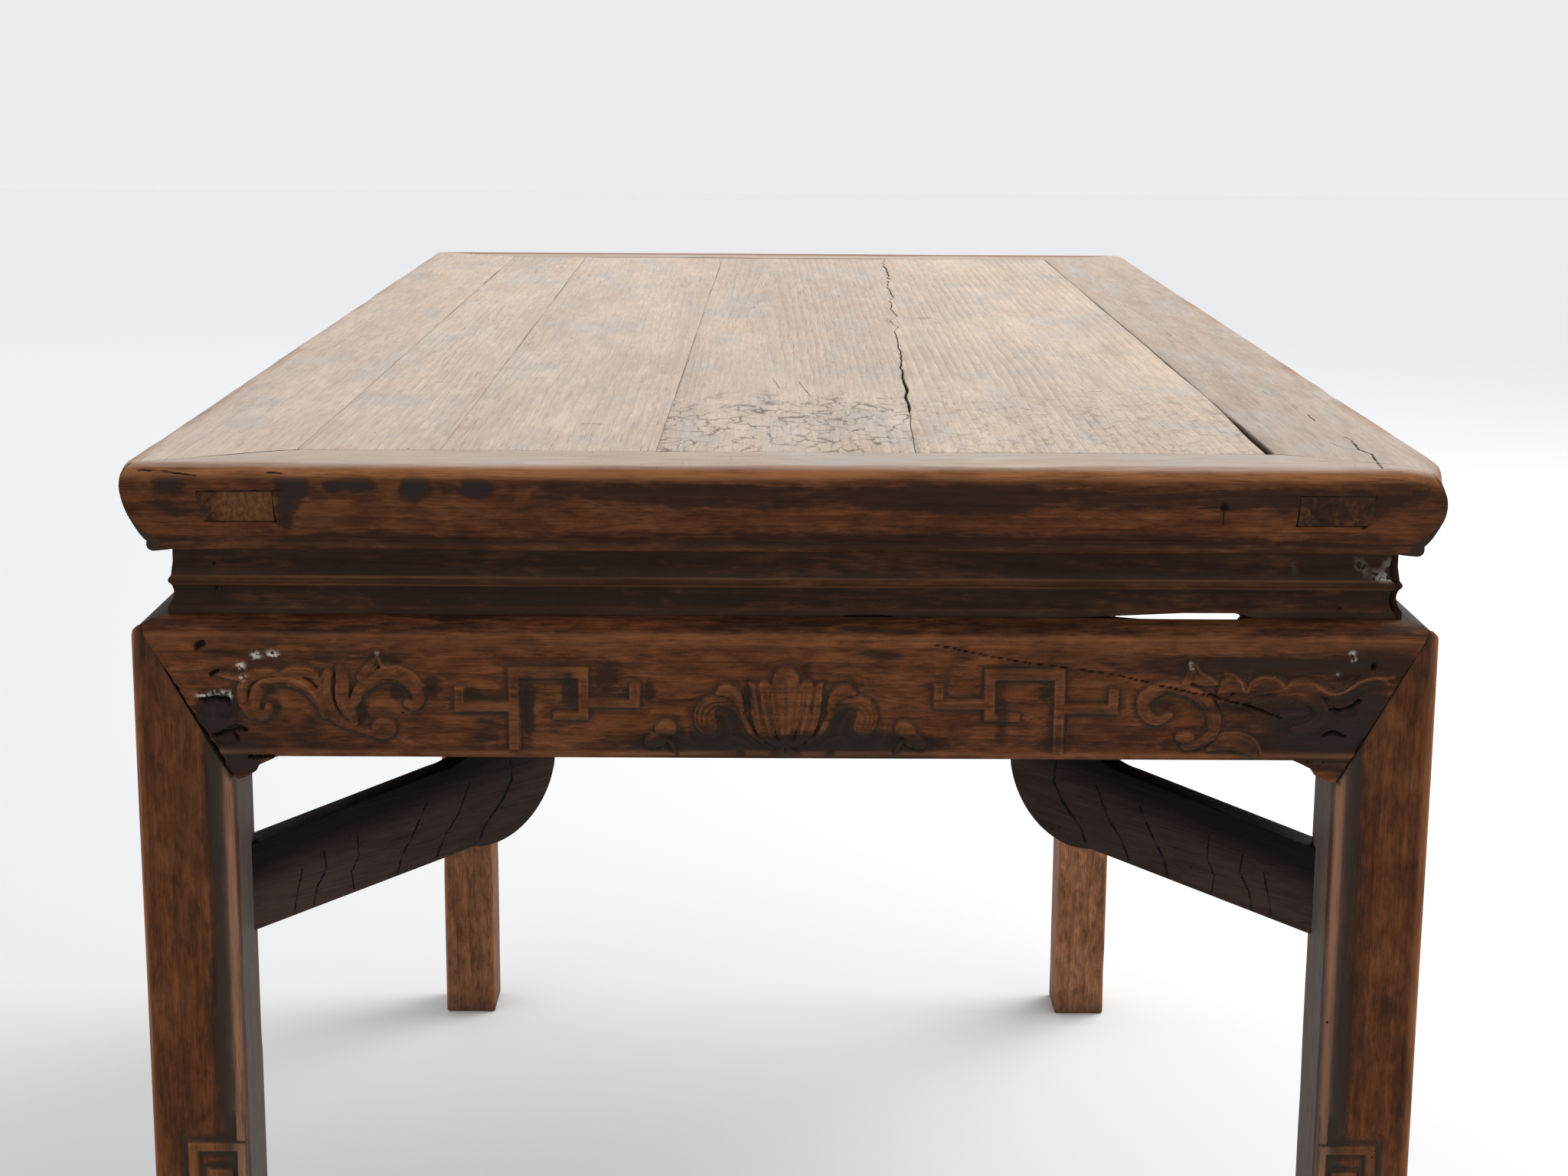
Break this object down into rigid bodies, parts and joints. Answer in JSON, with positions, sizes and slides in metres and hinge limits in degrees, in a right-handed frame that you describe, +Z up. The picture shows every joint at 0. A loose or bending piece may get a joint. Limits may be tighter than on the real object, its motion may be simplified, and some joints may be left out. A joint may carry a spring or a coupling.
{
  "type": "altar table",
  "caption": "Waisted corner-leg altar table with a mitred frame top, floating plank panel, carved aprons and giant's-arm braces, in weathered elm.",
  "frame": {"origin": "on the floor under the middle of the top", "axes": "+X across the short side to the right as seen from the pictured carved end, +Y along the length away from that end, +Z up"},
  "size_m": [0.733, 1.263, 0.84],
  "materials": {
    "bleached_elm": "dry and weathered",
    "dark_elm": "worn dark stain with a low sheen",
    "raw_elm": "bare",
    "brace_wood": "worn dark stain",
    "peg_wood": "bare"
  },
  "bodies": {
    "root": {"top_rail_left": "dark_elm", "top_rail_right": "dark_elm", "top_rail_front": "dark_elm", "top_rail_rear": "dark_elm", "top_board_left": "bleached_elm", "top_board_centre_left": "bleached_elm", "top_board_centre_right": "bleached_elm", "top_board_right": "bleached_elm", "batten_front": "raw_elm", "batten_middle": "raw_elm", "batten_rear": "raw_elm", "waist_front": "dark_elm", "waist_rear": "dark_elm", "waist_left": "dark_elm", "waist_right": "dark_elm", "apron_front": "dark_elm", "apron_rear": "dark_elm", "apron_left": "dark_elm", "apron_right": "dark_elm", "leg_front_left": "dark_elm", "leg_front_right": "dark_elm", "leg_rear_left": "dark_elm", "leg_rear_right": "dark_elm", "brace_front_left": "brace_wood", "brace_front_right": "brace_wood", "brace_rear_left": "brace_wood", "brace_rear_right": "brace_wood", "brace_pins": "peg_wood", "brace_wedges": "peg_wood"}
  },
  "joints": []
}
